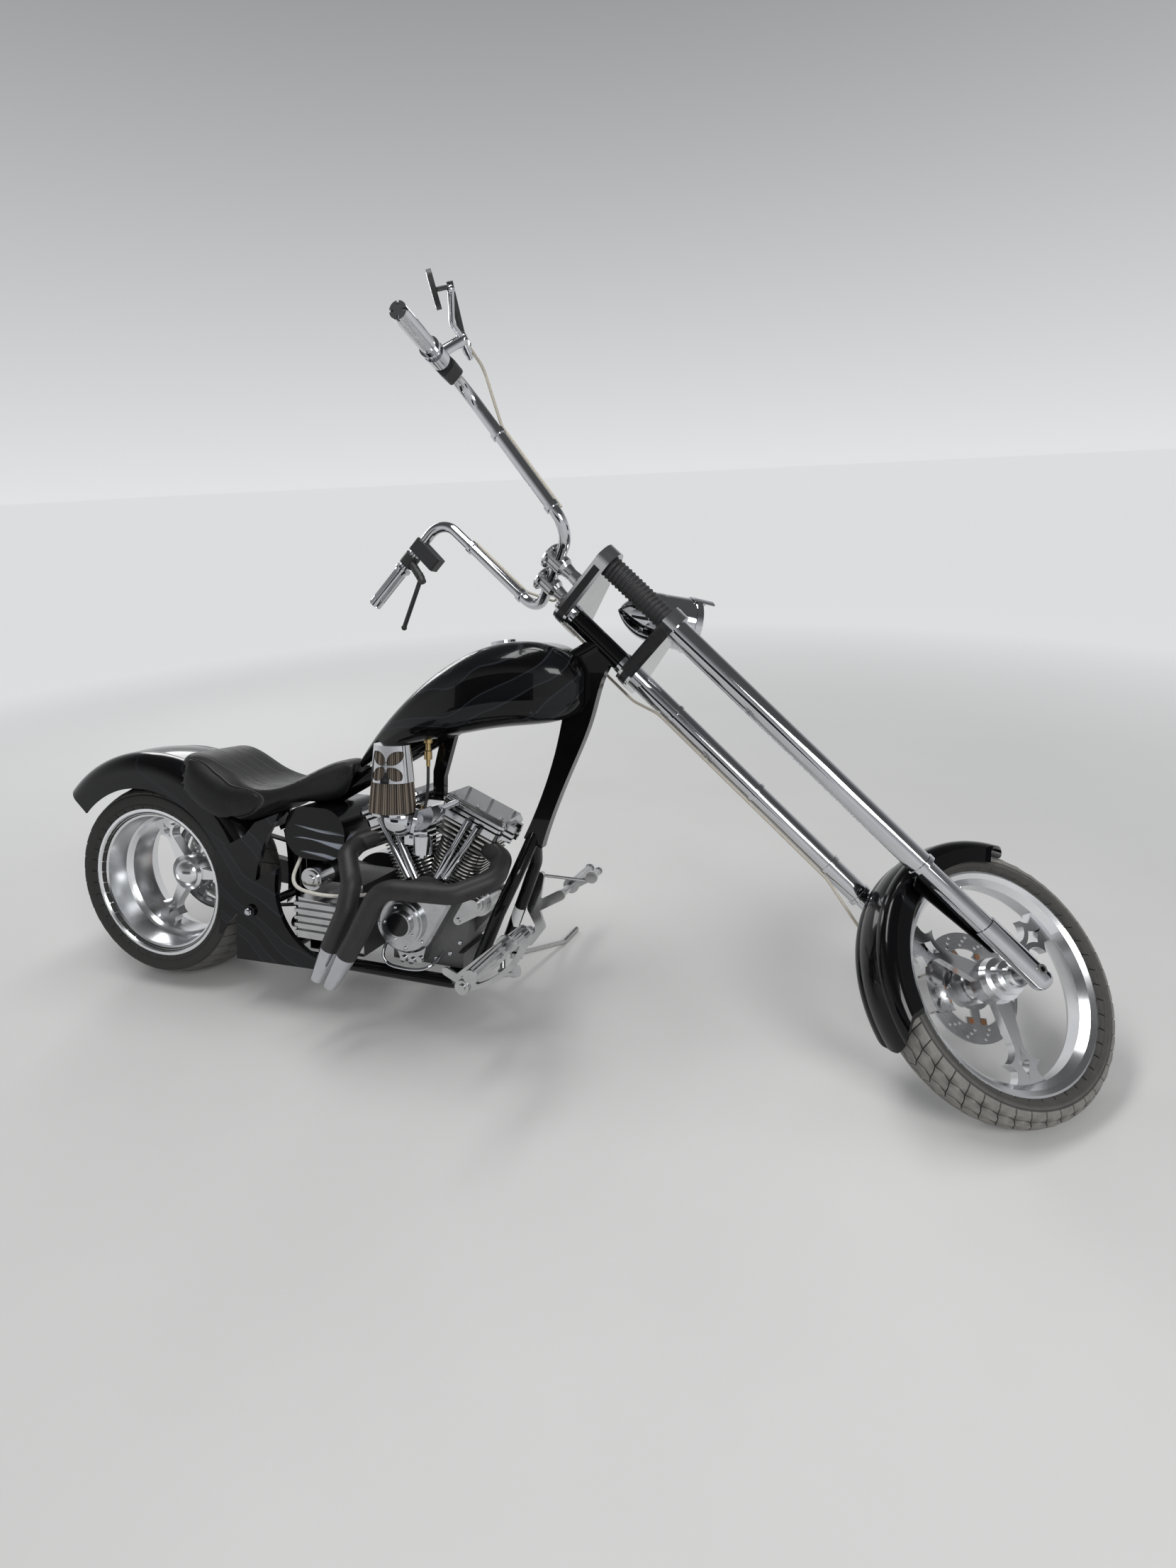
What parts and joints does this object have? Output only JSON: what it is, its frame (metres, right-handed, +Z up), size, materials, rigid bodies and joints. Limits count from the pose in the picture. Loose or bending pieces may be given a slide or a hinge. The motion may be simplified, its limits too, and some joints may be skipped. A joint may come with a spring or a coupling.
{
  "type": "chopper motorcycle",
  "caption": "Long custom motorcycle with a raked fork, high handlebar, teardrop tank, finned twin engine and wide rear tyre, parked on its side stand.",
  "frame": {"origin": "on the ground under the middle of the parked motorcycle's bounding box", "axes": "+X forward from the rear wheel to the front wheel, +Y to its left, +Z up; it leans 13 degrees to its left on the stand"},
  "size_m": [3.1463, 0.9662, 1.9655],
  "materials": {
    "black_paint": "high gloss black paint with faint grey flame streaks",
    "chrome": "bright chrome plate",
    "polished_alloy": "polished aluminium",
    "black_cast": "black coated casting, fin edges bare",
    "black_leather": "smooth black leather with a stitched flame shape",
    "filter_cloth": "pleated brown grey filter cloth under a bright cap",
    "pipe_coating": "satin dark grey heat coating",
    "belt_rubber": "matte black rubber",
    "bare_steel": "bare bright steel",
    "disc_steel": "brushed stainless steel",
    "black_wrap": "black plastic housing and wound loom tape",
    "hose_braid": "clear cover over pale braid",
    "tyre_rubber": "black rubber, dusty grey"
  },
  "bodies": {
    "frame": {"main_frame": "black_paint", "bearing_cups": "chrome", "cradle": "black_paint", "seat_tube": "black_paint", "side_panel_right": "black_paint", "side_panel_left": "black_paint", "swingarm": "black_paint", "rear_caliper": "polished_alloy", "rear_fender": "black_paint", "fuel_tank": "black_paint", "tank_cap": "chrome", "seat": "black_leather", "oil_tank": "black_paint", "crankcase": "black_cast", "cylinder_front": "black_cast", "cylinder_rear": "black_cast", "rocker_box_front": "chrome", "rocker_box_rear": "chrome", "pushrod_tubes": "chrome", "cam_cover": "chrome", "regulator": "polished_alloy", "air_elbow": "chrome", "air_filter": "filter_cloth", "filter_cap": "chrome", "exhaust_front": "pipe_coating", "exhaust_rear": "pipe_coating", "exhaust_tips": "chrome", "transmission": "polished_alloy", "primary_drive": "polished_alloy", "drive_belt": "belt_rubber", "right_control": "polished_alloy", "left_control": "polished_alloy"},
    "fork": {"lower_tree": "polished_alloy", "top_tree": "polished_alloy", "fork_leg_right": "chrome", "fork_leg_left": "chrome", "fork_covers": "chrome", "upper_covers": "black_wrap", "front_axle": "bare_steel", "handlebar": "chrome", "grips": "chrome", "risers": "chrome", "headlight": "chrome", "front_caliper": "chrome", "brake_lever": "chrome", "clutch_lever": "chrome", "side_mirror": "chrome", "switch_boxes": "black_wrap", "hoses": "hose_braid", "front_fender": "black_paint"},
    "front_wheel": {"front_wheel": "polished_alloy", "front_tyre": "tyre_rubber", "front_disc": "disc_steel"},
    "rear_wheel": {"rear_wheel": "polished_alloy", "rear_tyre": "tyre_rubber", "rear_disc": "disc_steel", "rear_pulley": "polished_alloy", "rear_spindle": "bare_steel"},
    "side_stand": {"side_stand": "bare_steel"}
  },
  "joints": [
    {"name": "steering", "type": "hinge", "parent": "frame", "child": "fork", "pos_m": [0.29867, 0.14987, 1.03218], "axis": [-0.7484, 0.1492, 0.6463], "range_deg": [-96, 0]},
    {"name": "front_wheel_spin", "type": "hinge", "parent": "fork", "child": "front_wheel", "pos_m": [1.26041, 0.04879, 0.27063], "axis": [-0.4929, 0.5269, -0.6924], "continuous": true},
    {"name": "rear_wheel_spin", "type": "hinge", "parent": "frame", "child": "rear_wheel", "pos_m": [-1.2431, -0.01277, 0.32769], "axis": [0, 0.9744, -0.225], "continuous": true},
    {"name": "side_stand_fold", "type": "hinge", "parent": "frame", "child": "side_stand", "pos_m": [-0.09587, 0.11094, 0.09895], "axis": [0.0147, 0.3746, 0.9271], "range_deg": [0, 105]}
  ]
}
